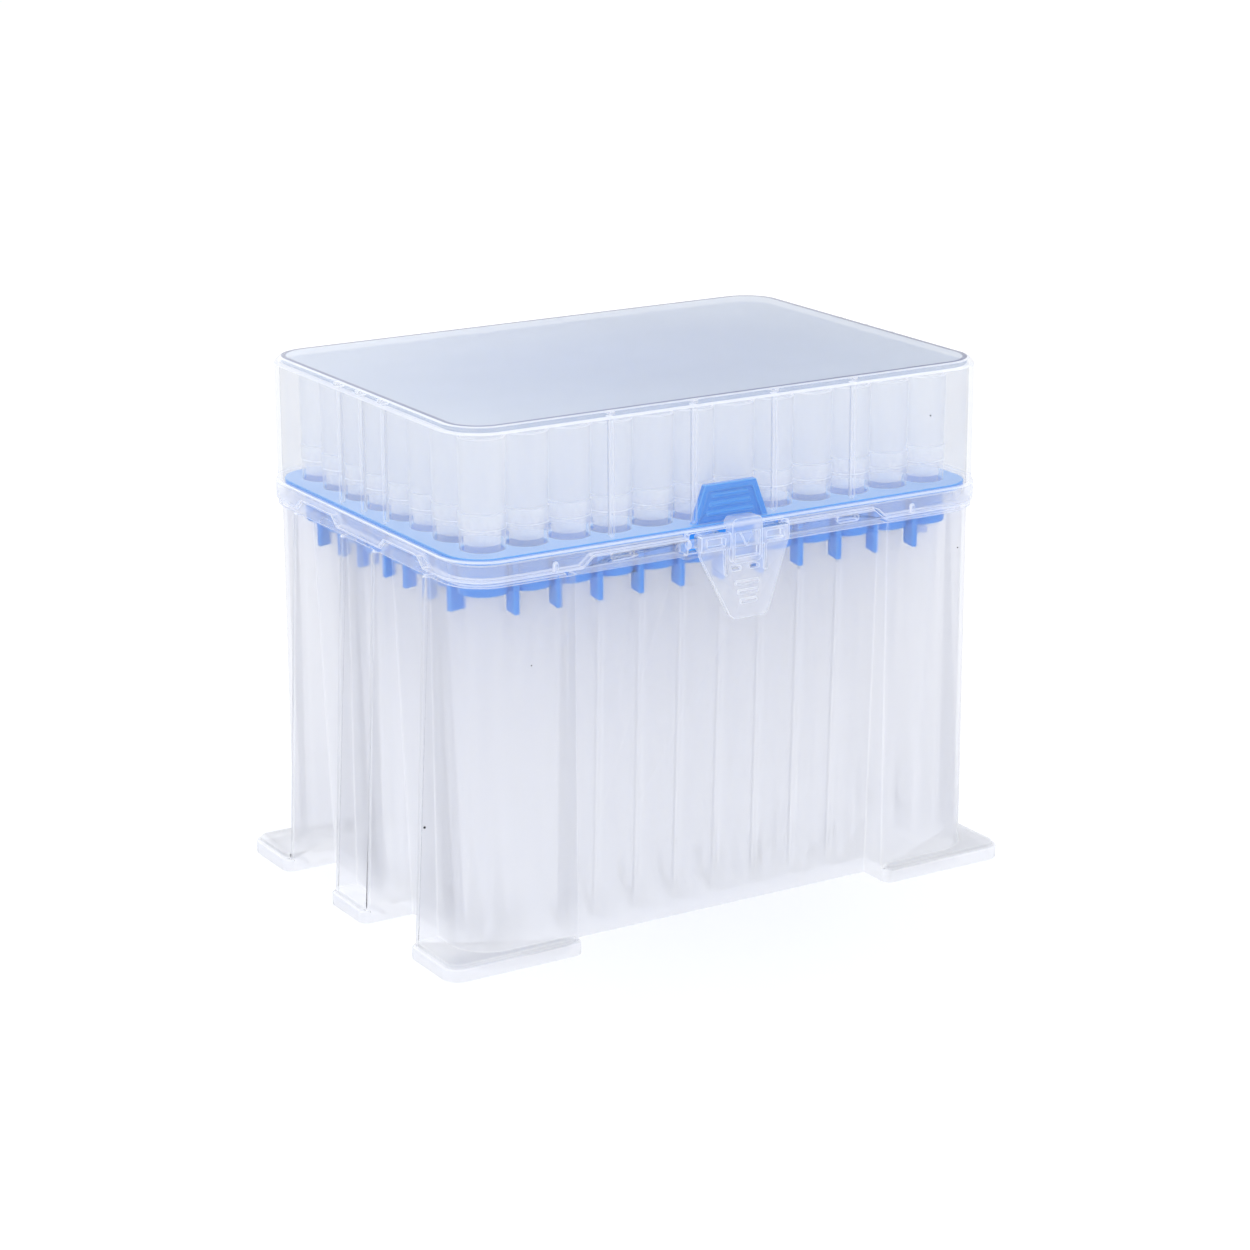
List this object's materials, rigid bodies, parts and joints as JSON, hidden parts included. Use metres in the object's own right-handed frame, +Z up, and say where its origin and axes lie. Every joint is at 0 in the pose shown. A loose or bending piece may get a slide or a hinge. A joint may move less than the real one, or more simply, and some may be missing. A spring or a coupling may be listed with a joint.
{
  "type": "box of pipette tips",
  "caption": "Clear footed plastic box with a hinged lid and front latch, holding pipette tips in a blue tray of round holes.",
  "frame": {"origin": "on the table, under the middle of the feet", "axes": "+X along the long side, to the right; -Y towards the front, where the latch is; +Z up"},
  "size_m": [0.1278, 0.091, 0.1039],
  "materials": {
    "clear": "frosted see-through polypropylene",
    "blue": "smooth moulded polypropylene",
    "tip": "natural polypropylene"
  },
  "bodies": {
    "base": {"base_box": "clear", "tip_tray": "blue", "tips_column_01": "tip", "tips_column_02": "tip", "tips_column_03": "tip", "tips_column_04": "tip", "tips_column_05": "tip", "tips_column_06": "tip", "tips_column_07": "tip", "tips_column_08": "tip", "tips_column_09": "tip", "tips_column_10": "tip", "tips_column_11": "tip", "tips_column_12": "tip"},
    "lid": {"lid": "clear"},
    "latch": {"latch": "clear"}
  },
  "joints": [
    {"name": "lid_hinge", "type": "hinge", "parent": "base", "child": "lid", "pos_m": [0, 0.04355, 0.0758], "axis": [-1, 0, 0], "range_deg": [0, 110]},
    {"name": "latch_press", "type": "hinge", "parent": "base", "child": "latch", "pos_m": [0, -0.041, 0.0764], "axis": [1, 0, 0], "range_deg": [0, 12], "stiffness_Nm_per_rad": 0.05}
  ]
}
